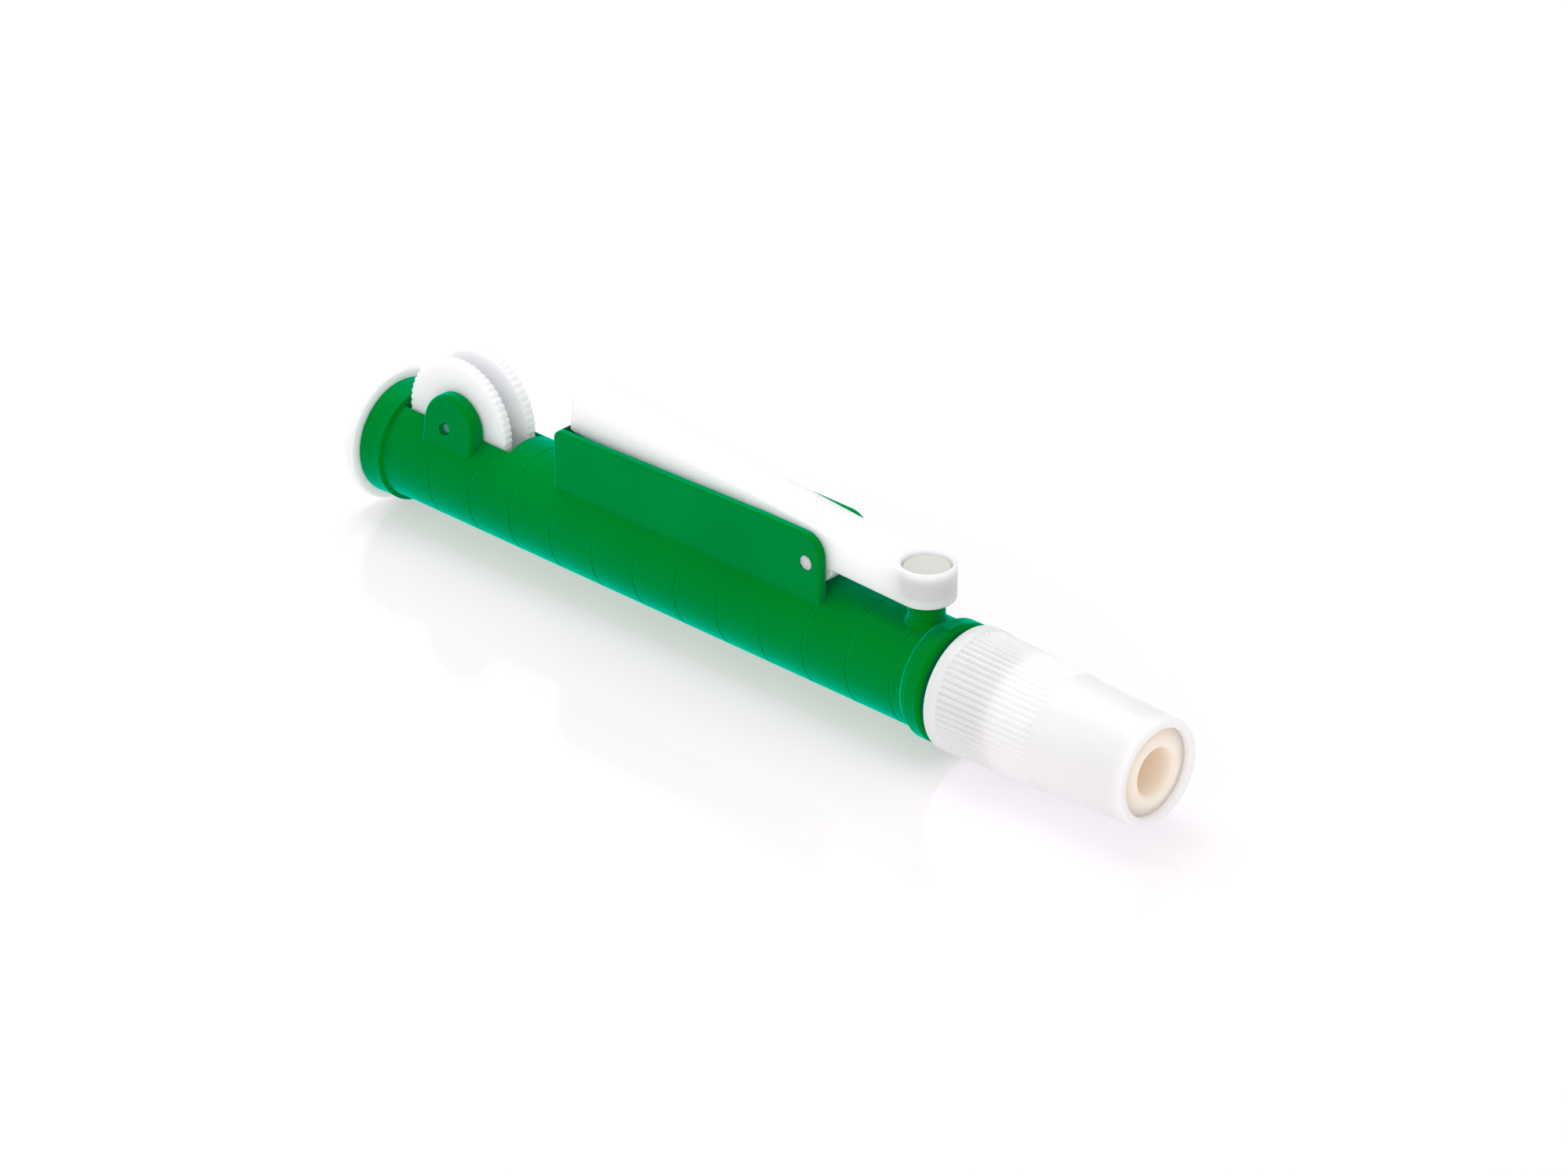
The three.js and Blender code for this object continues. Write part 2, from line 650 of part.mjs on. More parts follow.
// The ribs and the smooth cone in front of them. The ribs run on into the rim.
function chuckOutside() {
  const coneStart = 12.4;
  const outline = [
    [CHUCK_BASE + 1, 0],
    [CHUCK_BASE + 1, CHUCK_RIM_R - 0.4],
    [RIB_END - 0.6, coneStart + 0.35],
    [RIB_END, coneStart],
    [CHUCK_TIP - 0.3, CHUCK_TIP_R],
    [CHUCK_TIP, CHUCK_TIP_R - 0.2],
    [CHUCK_TIP, 0],
  ];
  const body = turned(outline, 2 * RIB_COUNT);
  const points = body.attributes.position;
  const perSide = outline.length;
  for (let i = 0; i < points.count; i++) {
    const inRibs = [1, 2].includes(i % perSide);
    const inGroove = Math.floor(i / perSide) % 2 === 1;
    if (!inRibs || !inGroove) continue;
    const [y, z] = [points.getY(i), points.getZ(i)];
    const scale = 1 - RIB_DEPTH / Math.hypot(y, z);
    points.setXYZ(i, points.getX(i), y * scale, z * scale);
  }
  return body;
}

function chuck() {
  const inside = turned([
    [CHUCK_BASE - 1, 0],
    [CHUCK_BASE - 1, POCKET_R],
    [POCKET_END, POCKET_R],
    [POCKET_END, MOUTH_R],
    [CHUCK_TIP + 1, MOUTH_R],
    [CHUCK_TIP + 1, 0],
  ]);
  const ridge = threadRidge(POCKET_R, SPIGOT_R + 0.5, THREAD_START + THREAD_PITCH / 2, THREAD_TURNS);
  const outside = solid(chuckRim()).add(solid(chuckOutside()));
  return toGeometry(outside.subtract(solid(inside)).add(solid(ridge)));
}

function chuckInsert() {
  return turned([
    [SPIGOT_END + 0.3, SOCKET_HOLE_R],
    [SPIGOT_END + 0.3, INSERT_FLANGE_R],
    [POCKET_END - 0.3, INSERT_FLANGE_R],
    [POCKET_END - 0.3, MOUTH_R - 0.15],
    [INSERT_EDGE, MOUTH_R - 0.15],
    [INSERT_FACE, SOCKET_R],
    [INSERT_FACE - 24, SOCKET_THROAT_R],
    [INSERT_FACE - 29, SOCKET_HOLE_R],
    [SPIGOT_END + 0.3, SOCKET_HOLE_R],
  ]);
}

// Materials and assembly.

const finish = (color, roughness, metalness = 0) =>
  new THREE.MeshStandardMaterial({ color, roughness, metalness });
const greenPlastic = finish(0x00873c, 0.35);
const whitePlastic = finish(0xebebf3, 0.35);
const softInsert = finish(0xe6d2c3, 0.5);
const greyRubber = finish(0xb9b9b2, 0.6);
const darkRubber = finish(0x2b2b2d, 0.6);
const steel = finish(0xb8bcc0, 0.3, 1);

const pump = new THREE.Group();
function place(name, geometry, material) {
  const mesh = new THREE.Mesh(geometry, material);
  mesh.name = name;
  pump.add(mesh);
}

place("barrel", barrel(), greenPlastic);
place("thumbwheel_near", wheelDisc(-DISC_OUTSIDE, -DISC_INSIDE), whitePlastic);
place("thumbwheel_far", wheelDisc(DISC_INSIDE, DISC_OUTSIDE), whitePlastic);
place("drive_pinion", pinion(), whitePlastic);
place("wheel_axle", crossBar(AXLE_R, AXLE_END, AXLE_X, AXLE_Z), steel);
place("plunger_rod", plungerRod(), whitePlastic);
place("plunger_cap", plungerCap(), whitePlastic);
place("piston_head", pistonHead(), whitePlastic);
place("piston_seal", pistonSeal(), darkRubber);
place("release_lever", lever(), whitePlastic);
place("lever_pivot_pin", crossBar(PIN_R, PLATE_OUTSIDE - 0.1, PIN_X, PIN_Z), whitePlastic);
place("lever_return_spring", returnSpring(), steel);
place("vent_valve_plug", valvePlug(), greyRubber);
place("chuck", chuck(), whitePlastic);
place("chuck_insert", chuckInsert(), softInsert);

pump.position.set(-(CAP_REAR + CHUCK_TIP) / 2, 0, CAP_R);

const root = new THREE.Group();
root.add(pump);

export default root;
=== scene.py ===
import math

import bmesh
import bpy
from mathutils import Matrix, Vector


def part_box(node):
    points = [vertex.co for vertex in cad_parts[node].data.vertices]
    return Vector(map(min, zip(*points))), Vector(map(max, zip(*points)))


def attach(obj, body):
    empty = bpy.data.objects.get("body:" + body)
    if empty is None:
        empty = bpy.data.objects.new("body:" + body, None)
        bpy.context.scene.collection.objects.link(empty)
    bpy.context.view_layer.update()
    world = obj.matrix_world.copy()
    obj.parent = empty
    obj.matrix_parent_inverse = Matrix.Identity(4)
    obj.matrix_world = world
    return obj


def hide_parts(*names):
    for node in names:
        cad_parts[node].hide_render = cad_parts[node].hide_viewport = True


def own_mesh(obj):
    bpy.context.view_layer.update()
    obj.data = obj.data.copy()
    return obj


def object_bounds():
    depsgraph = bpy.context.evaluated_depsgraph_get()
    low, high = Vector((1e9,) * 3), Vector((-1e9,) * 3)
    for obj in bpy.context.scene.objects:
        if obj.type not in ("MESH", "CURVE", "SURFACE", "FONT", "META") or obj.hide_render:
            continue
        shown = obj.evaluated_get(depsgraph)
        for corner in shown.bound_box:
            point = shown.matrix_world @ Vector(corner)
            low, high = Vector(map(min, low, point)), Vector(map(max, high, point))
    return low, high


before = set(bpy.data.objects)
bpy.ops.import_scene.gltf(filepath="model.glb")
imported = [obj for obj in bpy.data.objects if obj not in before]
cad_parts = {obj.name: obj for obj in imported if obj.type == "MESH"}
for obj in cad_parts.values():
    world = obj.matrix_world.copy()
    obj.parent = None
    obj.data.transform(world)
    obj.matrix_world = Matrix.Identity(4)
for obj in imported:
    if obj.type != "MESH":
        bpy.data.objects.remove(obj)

cad_low, cad_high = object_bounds()

MM = 0.001
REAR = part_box("barrel")[0].x
AXIS_Z = (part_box("chuck")[0].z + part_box("chuck")[1].z) / 2


def at(x, y, z):
    """The point in the row frame of a place in the barrel's own millimetres."""
    return Vector((REAR + x * MM, y * MM, AXIS_Z + z * MM))


def span(node):
    """A CAD node's box in the barrel's own millimetres: (x0, x1), (y0, y1), (z0, z1)."""
    low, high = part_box(node)
    origin = at(0, 0, 0)
    return [((low[i] - origin[i]) / MM, (high[i] - origin[i]) / MM) for i in range(3)]


# Driving dimensions. Those that a box gives come from the frame.
TUBE_R = 12
BORE_R = 10
RING_FIRST, RING_STEP, RING_COUNT = 20.5, 12.19, 12
(_, BARREL_END), _, _ = span("barrel")
SPIGOT_R, SPIGOT_BORE_R = 10, 7.5
FLANGE_R, FLANGE_END = 13.1, 6.2
CHAMBER_END = 156.5
COLLAR_R = 13.15
COLLAR_START, COLLAR_END = 159.4, 163.4
# What stands on the tube starts at this height, and the bore then cuts off what is inside it.
INSIDE_BORE = 9

(WHEEL_X0, WHEEL_X1), (DISC_NEAR_OUT, DISC_NEAR_IN), (WHEEL_Z0, WHEEL_Z1) = span("thumbwheel_near")
_, (DISC_FAR_IN, DISC_FAR_OUT), _ = span("thumbwheel_far")
AXLE_X = (WHEEL_X0 + WHEEL_X1) / 2
AXLE_Z = (WHEEL_Z0 + WHEEL_Z1) / 2
WHEEL_R = (WHEEL_X1 - WHEEL_X0) / 2
WHEEL_NOTCHES = 56
AXLE_R = 1.2
AXLE_END = span("wheel_axle")[1][1]
HUB_R = 3.2
PITCH_R = 6
PINION_TEETH = 12
TOOTH_PITCH = 2 * math.pi * PITCH_R / PINION_TEETH
TOOTH_ADDENDUM, TOOTH_DEDENDUM = 0.9, 1.2
TOOTH_SLOPE = math.tan(math.radians(20))
TOOTH_PLAY = 0.12
RACK_FIRST_TOOTH, RACK_LAST_TOOTH = -3, 33
RACK_Z = AXLE_Z - PITCH_R
EAR_X, EAR_Z, EAR_R = AXLE_X + 0.9, AXLE_Z + 0.4, 7.4
EAR_FOOT_Z, EAR_FOOT_OUTSIDE, EAR_TOP_OUTSIDE = 6.5, 9.4, 7.7
OPENING_HALF_WIDTH = 5.2
OPENING_START, OPENING_END = 6.3, 38.3

(CAP_REAR, CAP_FRONT), (_, CAP_R), _ = span("plunger_cap")
(TENON_REAR, STEM_END), _, (ROD_LOW, _) = span("plunger_rod")
(PISTON_REAR, PISTON_FRONT), (_, PISTON_R), _ = span("piston_head")
(SEAL_REAR, SEAL_FRONT), (_, SEAL_R), _ = span("piston_seal")
ROD_END, ROD_DISC_R = 137.2, 9.4
STEM_R = 2.5
SEAL_SEAT_R = 6.5
BLADE_HALF_WIDTH = 1.8
FOOT_HALF_WIDTH, RIB_HALF_WIDTH, RIB_LOW, WEB_THICKNESS = 3.5, 4.2, -4.8, 1.4
TENON_HALF_WIDTH, TENON_LOW, TENON_HIGH = 1.4, -6, 3

(PIN_X0, PIN_X1), (_, PIN_END), (PIN_Z0, PIN_Z1) = span("lever_pivot_pin")
PIN_X, PIN_Z = (PIN_X0 + PIN_X1) / 2, (PIN_Z0 + PIN_Z1) / 2
PIN_R = (PIN_X1 - PIN_X0) / 2
PLATE_INSIDE, PLATE_OUTSIDE = 5.95, 7.65
PLATE_START, PLATE_END = 54, 131.2
PLATE_WALL = 1
PLATE_FOOT_Z = 8.8
PLATE_TOP_REAR, PLATE_TOP_FRONT = 22.8, 24.5
PLATE_LEVEL_LENGTH = 16

(LEVER_REAR, LEVER_FRONT), (_, BOSS_R), (_, LEVER_REAR_TOP) = span("release_lever")
BOSS_X = LEVER_FRONT - BOSS_R
LEVER_BEND = 131.5
LEVER_TOP, LEVER_BOTTOM = 24.9, 16.8
LEVER_REAR_BOTTOM = 22.25
LEVER_REAR_LEAN = 1.3
LEVER_REAR_HALF_WIDTH, LEVER_PIVOT_HALF_WIDTH = 4.8, 5.4
KNUCKLE_R, KNUCKLE_HALF_LENGTH = 5.2, 4.9
BOSS_BORE_R, BOSS_LIP_R, BOSS_FLOOR_Z = 5.3, 4.15, 18.7
PLUG_R = 3.9
STUB_R, STUB_TOP, STUB_FOOT_R = 3.9, 16.95, 4.6
VENT_R = 1.2
(SPRING_X0, SPRING_X1), _, (SPRING_LOW, SPRING_HIGH) = span("lever_return_spring")
SPRING_X = (SPRING_X0 + SPRING_X1) / 2
SPRING_SEAT_R, SPRING_PEG_R, SPRING_PEG_LENGTH = 4, 1.7, 1.6

(CHUCK_BASE, CHUCK_TIP), (_, CHUCK_RIM_R), _ = span("chuck")
CHUCK_RIM_END = CHUCK_BASE + 2.9
RIB_END = 192.9
RIB_COUNT = 58
CHUCK_TIP_R = 11.65
MOUTH_R = 9.7
POCKET_R, POCKET_END = 11.65, 180.2
RIB_CREST_BASE_R, RIB_CREST_END_R, RIB_DEPTH = 13.42, 12.76, 0.34
CONE_START_R, CONE_MIDDLE_R = 12.4, 12.03
THREAD_PITCH, THREAD_TURNS, THREAD_START = 4, 2, 166
THREAD_CREST_R = 11.1
(INSERT_REAR, INSERT_FRONT), (_, INSERT_R), _ = span("chuck_insert")
INSERT_EDGE = INSERT_FRONT - 1.1
SOCKET_R, SOCKET_THROAT_R, SOCKET_HOLE_R = 5.3, 3, 2.6
SOCKET_DEPTH = 24


# Shapes.

def rounded(corners, steps=6):
    """A closed outline through corners (u, v, radius), with an arc at each corner that has a radius."""
    points = []
    for i, (u, v, radius) in enumerate(corners):
        here = Vector((u, v))
        if radius == 0:
            points.append((u, v))
            continue
        before = (Vector(corners[i - 1][:2]) - here).normalized()
        after = (Vector(corners[(i + 1) % len(corners)][:2]) - here).normalized()
        half = before.angle(after) / 2
        centre = here + (before + after).normalized() * (radius / math.sin(half))
        first = here + before * (radius / math.tan(half)) - centre
        last = here + after * (radius / math.tan(half)) - centre
        turn = math.atan2(first.cross(last), first.dot(last))
        for k in range(steps + 1):
            point = centre + Matrix.Rotation(turn * k / steps, 2) @ first
            points.append((point.x, point.y))
    return points


def piece_of(name, points, faces):
    """An object of those points, given in the barrel's own millimetres, and faces, all facing out."""
    mesh = bpy.data.meshes.new(name)
    mesh.from_pydata([at(*p) for p in points], [], faces)
    tidy = bmesh.new()
    tidy.from_mesh(mesh)
    bmesh.ops.remove_doubles(tidy, verts=tidy.verts, dist=1e-4 * MM)
    bmesh.ops.recalc_face_normals(tidy, faces=tidy.faces)
    tidy.to_mesh(mesh)
    tidy.free()
    piece = bpy.data.objects.new(name, mesh)
    bpy.context.scene.collection.objects.link(piece)
    return piece


def even_angles(count):
    return [2 * math.pi * i / count for i in range(count)]


def turned(name, outline, angles, axis="X", centre=(0, 0), reshape=None):
    """A turned body from a closed outline of (along, radius) points. reshape changes a point's radius."""
    points, faces = [], []
    count = len(outline)
    for angle in angles:
        for along, radius in outline:
            if reshape:
                radius = reshape(along, radius, angle)
            side, rise = radius * math.sin(angle), radius * math.cos(angle)
            if axis == "X":
                points.append((along, side, rise))
            elif axis == "Y":
                points.append((centre[0] + rise, along, centre[1] + side))
            else:
                points.append((centre[0] + rise, centre[1] + side, along))
    for i in range(len(angles)):
        here, there = i * count, (i + 1) % len(angles) * count
        for k in range(count):
            m = (k + 1) % count
            if outline[k][1] or outline[m][1]:
                faces.append((here + k, here + m, there + m, there + k))
    return piece_of(name, points, faces)


def side_faces(count):
    """The faces between two outlines of that many points, where the second list follows the first."""
    return [(i, (i + 1) % count, count + (i + 1) % count, count + i) for i in range(count)]


def end_faces(count):
    return [tuple(range(count)), tuple(range(count, 2 * count))]


def prism(name, outline, low, high):
    """An outline in X and Z drawn out along Y from low to high."""
    count = len(outline)
    points = [(x, y, z) for y in (low, high) for x, z in outline]
    return piece_of(name, points, end_faces(count) + side_faces(count))


def block(name, x0, x1, y0, y1, z0, z1):
    return prism(name, [(x0, z0), (x1, z0), (x1, z1), (x0, z1)], y0, y1)


def cross_pin(name, half_length, radius, edge, centre, angles):
    """A round pin right across the pump, with rounded ends."""
    end = half_length
    outline = rounded([(-end, 0, 0), (-end, radius, edge), (end, radius, edge), (end, 0, 0)])
    return turned(name, outline, angles, "Y", centre)


def cross_hole(name, radius, centre):
    """The tool for a round hole right across the pump."""
    end = 9
    outline = [(-end, 0), (-end, radius), (end, radius), (end, 0)]
    return turned(name, outline, even_angles(48), "Y", centre)


def applied(piece):
    """The piece, with its modifiers made part of its mesh."""
    depsgraph = bpy.context.evaluated_depsgraph_get()
    mesh = bpy.data.meshes.new_from_object(piece.evaluated_get(depsgraph))
    piece.modifiers.clear()
    piece.data = mesh
    return piece


def bevelled(piece, width, segments, angle=40):
    """The piece, with every edge sharper than the angle rounded."""
    bevel = piece.modifiers.new("bevel", "BEVEL")
    bevel.width = width * MM
    bevel.segments = segments
    bevel.limit_method = "ANGLE"
    bevel.angle_limit = math.radians(angle)
    return applied(piece)


def combined(piece, operation, *tools):
    """The piece joined with the tools, or cut by them. The tools are used up."""
    for tool in tools:
        change = piece.modifiers.new(tool.name, "BOOLEAN")
        change.operation = operation
        change.object = tool
        change.solver = "EXACT"
    applied(piece)
    for tool in tools:
        bpy.data.objects.remove(tool)
    return piece


def smooth(piece, angle=30):
    piece.data.shade_smooth()
    piece.data.set_sharp_from_angle(angle=math.radians(angle))
    weighted = piece.modifiers.new("weighted_normals", "WEIGHTED_NORMAL")
    weighted.keep_sharp = True
    return piece


def swept(name, ring_count, section):
    """A closed body through that many rings. section(i) gives the points of ring i, in order."""
    rings = [section(i) for i in range(ring_count)]
    count = len(rings[0])
    points = [p for ring in rings for p in ring]
    faces = [tuple(range(count)), tuple(range(len(points) - count, len(points)))]
    for i in range(len(rings) - 1):
        for k in range(count):
            m = (k + 1) % count
            faces.append((i * count + k, i * count + m, (i + 1) * count + m, (i + 1) * count + k))
    return piece_of(name, points, faces)


# Barrel.

def ring_grooves():
    """Outline corners of the shallow lines right round the tube."""
    half, depth = 0.2, 0.11
    corners = []
    for k in range(RING_COUNT):
        x = RING_FIRST + RING_STEP * k
        corners += [(x - half, TUBE_R, 0), (x - half / 3, TUBE_R - depth, 0)]
        corners += [(x + half / 3, TUBE_R - depth, 0), (x + half, TUBE_R, 0)]
        if k < RING_COUNT - 1:
            corners += [(x + RING_STEP * share, TUBE_R, 0) for share in (0.25, 0.5, 0.75)]
    return corners


def barrel_body():
    corners = [
        (0, 0, 0),
        (0, FLANGE_R, 0.4),
        (FLANGE_END - 1.9, FLANGE_R - 0.12, 0.8),
        (FLANGE_END, FLANGE_R, 0.3),
        (FLANGE_END + 0.3, TUBE_R, 0.25),
        *ring_grooves(),
        (COLLAR_START - 2, TUBE_R, 0.5),
        (COLLAR_START - 1.2, TUBE_R + 0.5, 0.3),
        (COLLAR_START - 0.2, TUBE_R + 0.6, 0.2),
        (COLLAR_START + 0.1, COLLAR_R, 0.25),
        (COLLAR_END - 0.7, COLLAR_R, 0.3),
        (COLLAR_END, COLLAR_R - 0.75, 0.25),
        (COLLAR_END, SPIGOT_R, 0),
        (BARREL_END, SPIGOT_R, 0.5),
        (BARREL_END, 0, 0),
    ]
    seam_angle = math.pi / 2
    seam_half, seam_height = math.radians(0.45), 0.05
    angles = even_angles(192)
    for side in (seam_angle, 3 * seam_angle):
        angles += [side - seam_half, side + seam_half]

    def with_seam(x, radius, angle):
        on_seam = abs(abs(math.sin(angle)) - 1) < 1e-6
        on_tube = OPENING_END < x < COLLAR_START and radius > SPIGOT_R + 1
        return radius + seam_height if on_seam and on_tube else radius

    return turned("barrel_shell", rounded(corners, 4), sorted(angles), reshape=with_seam)


def ears():
    """Both ears as one block, which the opening parts. Their outer faces lean in towards the top."""
    arc = [(EAR_X + EAR_R * math.cos(a), EAR_Z + EAR_R * math.sin(a)) for a in even_angles(96)[:49]]
    outline = [(EAR_X - EAR_R, EAR_FOOT_Z), (EAR_X + EAR_R, EAR_FOOT_Z), *arc]
    top = EAR_Z + EAR_R

    def leaning(z):
        return EAR_FOOT_OUTSIDE + (EAR_TOP_OUTSIDE - EAR_FOOT_OUTSIDE) * (z - EAR_FOOT_Z) / (top - EAR_FOOT_Z)

    count = len(outline)
    points = [(x, side * leaning(z), z) for side in (-1, 1) for x, z in outline]
    block_of_both = piece_of("ears", points, end_faces(count) + side_faces(count))
    return bevelled(block_of_both, width=0.8, segments=5)


def bracket():
    outline = rounded([
        (PLATE_START, PLATE_FOOT_Z, 0),
        (PLATE_END, PLATE_FOOT_Z, 0),
        (PLATE_END, PLATE_TOP_FRONT, 5),
        (PLATE_END - PLATE_LEVEL_LENGTH, PLATE_TOP_FRONT, 0),
        (PLATE_START, PLATE_TOP_REAR, 2),
    ], 10)
    body = prism("bracket", outline, -PLATE_OUTSIDE, PLATE_OUTSIDE)
    body = bevelled(body, width=0.6, segments=5)
    past = 9
    space = block("lever_space", PLATE_START + PLATE_WALL, PLATE_END + past, -PLATE_INSIDE, PLATE_INSIDE,
                  0, PLATE_TOP_FRONT + past)
    return bevelled(combined(body, "DIFFERENCE", space), width=0.12, segments=2, angle=60)


def valve_stub():
    outline = rounded([
        (INSIDE_BORE, 0, 0),
        (INSIDE_BORE, STUB_FOOT_R, 0),
        (TUBE_R - 0.6, STUB_FOOT_R, 0.3),
        (TUBE_R + 0.7, STUB_R + 0.05, 1.2),
        (STUB_TOP, STUB_R, 0.3),
        (STUB_TOP, 0, 0),
    ])
    return turned("stub", outline, even_angles(64), "Z", (BOSS_X, 0))


def spring_seat():
    seat = SPRING_LOW - 0.1
    outline = [
        (INSIDE_BORE, 0),
        (INSIDE_BORE, SPRING_SEAT_R),
        (seat, SPRING_SEAT_R),
        (seat, SPRING_PEG_R),
        (seat + SPRING_PEG_LENGTH, SPRING_PEG_R),
        (seat + SPRING_PEG_LENGTH, 0),
    ]
    return turned("spring_seat", outline, even_angles(48), "Z", (SPRING_X, 0))


def collar_pad():
    start, end = COLLAR_START + 0.4, COLLAR_END - 0.7
    near, far = -2.6, 1.4
    pad = block("pad", start, end, near, far, TUBE_R - 0.5, COLLAR_R + 0.3)
    return bevelled(pad, width=0.14, segments=3)


def thread(name, wall_r, crest_r, start):
    """A helical ridge sunk a little into its wall, thin at both ends."""
    steps = 64 * THREAD_TURNS
    fade_steps = 10
    foot_half, crest_half = 0.8, 0.4
    sunk = wall_r - 0.25 * math.copysign(1, crest_r - wall_r)

    def section(i):
        angle = 2 * math.pi * THREAD_TURNS * i / steps
        x = start + THREAD_PITCH * THREAD_TURNS * i / steps
        top = wall_r + (crest_r - wall_r) * min(1, (i + 0.4) / fade_steps, (steps - i + 0.4) / fade_steps)
        corners = [(-foot_half, sunk), (-crest_half, top), (crest_half, top), (foot_half, sunk)]
        return [(x + dx, r * math.cos(angle), r * math.sin(angle)) for dx, r in corners]

    return swept(name, steps + 1, section)


def barrel():
    shell = barrel_body()
    shell = combined(shell, "UNION", bracket(), ears(), valve_stub(), spring_seat(), collar_pad(),
                     thread("thread", SPIGOT_R, THREAD_CREST_R, THREAD_START))
    lead_in, lead_length = 0.6, 0.8
    bore = [
        (-1, 0),
        (-1, BORE_R + lead_in),
        (0, BORE_R + lead_in),
        (lead_length, BORE_R),
        (CHAMBER_END, BORE_R),
        (CHAMBER_END + 2, SPIGOT_BORE_R),
        (BARREL_END + 1, SPIGOT_BORE_R),
        (BARREL_END + 1, 0),
    ]
    hole_end, step_end = AXLE_END + 3, AXLE_END - 0.1
    ear_hole = [
        (-hole_end, 0),
        (-hole_end, AXLE_R + 0.5),
        (-step_end, AXLE_R + 0.3),
        (-step_end, AXLE_R + 0.08),
        (step_end, AXLE_R + 0.08),
        (step_end, AXLE_R + 0.3),
        (hole_end, AXLE_R + 0.5),
        (hole_end, 0),
    ]
    vent_low, vent_high = 5, 20
    vent = [(vent_low, 0), (vent_low, VENT_R), (vent_high, VENT_R), (vent_high, 0)]
    shell = combined(
        shell,
        "DIFFERENCE",
        turned("bore", bore, even_angles(128)),
        block("opening", OPENING_START, OPENING_END, -OPENING_HALF_WIDTH, OPENING_HALF_WIDTH, 5, 20),
        turned("axle_hole", ear_hole, even_angles(48), "Y", (AXLE_X, AXLE_Z)),
        cross_hole("pin_hole", PIN_R + 0.06, (PIN_X, PIN_Z)),
        turned("vent", vent, even_angles(32), "Z", (BOSS_X, 0)),
    )
    return smooth(shell)


# Thumbwheel.

def wheel_disc(name, low, high):
    edge, notch_depth = 0.55, 0.4
    hole_r = HUB_R + 0.2
    outline = rounded([(low, hole_r, 0), (low, WHEEL_R, edge), (high, WHEEL_R, edge), (high, hole_r, 0)])

    def scalloped(along, radius, angle):
        wave = 1 - abs(math.cos(WHEEL_NOTCHES * angle / 2))
        return radius - notch_depth * wave if radius > WHEEL_R / 2 else radius

    angles = even_angles(WHEEL_NOTCHES * 10)
    return smooth(turned(name, outline, angles, "Y", (AXLE_X, AXLE_Z), scalloped), angle=35)


def axle():
    edge = 0.35
    return smooth(cross_pin("wheel_axle_pin", AXLE_END, AXLE_R, edge, (AXLE_X, AXLE_Z), even_angles(48)))


# Plunger.

def plunger_cap():
    dimple_r, dimple_depth = 1.5, 0.25
    outline = rounded([
        (CAP_FRONT, 0, 0),
        (CAP_FRONT, CAP_R, 0.5),
        (CAP_REAR, CAP_R, 1.5),
        (CAP_REAR, dimple_r, 0.1),
        (CAP_REAR + dimple_depth, dimple_r - 0.3, 0.1),
        (CAP_REAR + dimple_depth, 0, 0),
    ], 8)
    return smooth(turned("plunger_thumb_cap", outline, even_angles(192)))


def rack_half_thickness(depth):
    """Half a rack tooth's thickness at a depth below the axle."""
    return TOOTH_PITCH / 4 + (depth - PITCH_R) * TOOTH_SLOPE


def rod_web(name, half_width, low):
    """A flat web along the rod, with its edges rounded."""
    web = block(name, 0, ROD_END - 0.5, -half_width, half_width, low, low + WEB_THICKNESS)
    return bevelled(web, width=0.25, segments=3)


def plunger_rod():
    root, tip = RACK_Z - TOOTH_DEDENDUM, RACK_Z + TOOTH_ADDENDUM
    root_half = rack_half_thickness(PITCH_R + TOOTH_DEDENDUM)
    tip_half = rack_half_thickness(PITCH_R - TOOTH_ADDENDUM)
    corners = [(0, ROD_LOW, 0), (ROD_END - 1, ROD_LOW, 0), (ROD_END - 1, root, 0)]
    for tooth in range(RACK_LAST_TOOTH, RACK_FIRST_TOOTH - 1, -1):
        x = AXLE_X + tooth * TOOTH_PITCH
        corners += [
            (x + root_half, root, 0.15),
            (x + tip_half, tip, 0.15),
            (x - tip_half, tip, 0.15),
            (x - root_half, root, 0.15),
        ]
    corners.append((0, root, 0))
    rod = prism("plunger_rack", rounded(corners, 3), -BLADE_HALF_WIDTH, BLADE_HALF_WIDTH)
    disc_rear = ROD_END - 1.6
    disc = rounded([(disc_rear, 0, 0), (disc_rear, ROD_DISC_R, 0.4), (ROD_END, ROD_DISC_R, 0.4),
                    (ROD_END, 0, 0)])
    stem = rounded([(ROD_END - 1, 0, 0), (ROD_END - 1, STEM_R, 0), (STEM_END, STEM_R, 0.4), (STEM_END, 0, 0)])
    return smooth(combined(
        rod,
        "UNION",
        rod_web("foot", FOOT_HALF_WIDTH, ROD_LOW),
        rod_web("rib", RIB_HALF_WIDTH, RIB_LOW),
        block("tenon", TENON_REAR, 1, -TENON_HALF_WIDTH, TENON_HALF_WIDTH, TENON_LOW, TENON_HIGH),
        turned("disc", disc, even_angles(96)),
        turned("stem", stem, even_angles(48)),
    ))


def gap_half_angle(radius):
    """Half the angle that a rack tooth, with its play, clears from the pinion as the two roll."""
    half = 0
    rolls, fine_step = 50, 0.004
    for roll in range(-rolls, rolls + 1):
        turn = roll / rolls
        for step in range(int(math.pi / PINION_TEETH / fine_step)):
            angle = step * fine_step
            depth = radius * math.cos(angle + turn)
            along = radius * math.sin(angle + turn) - PITCH_R * turn
            reached = depth >= PITCH_R - TOOTH_ADDENDUM - TOOTH_PLAY
            if reached and abs(along) <= rack_half_thickness(depth) + TOOTH_PLAY:
                half = max(half, angle)
    return half


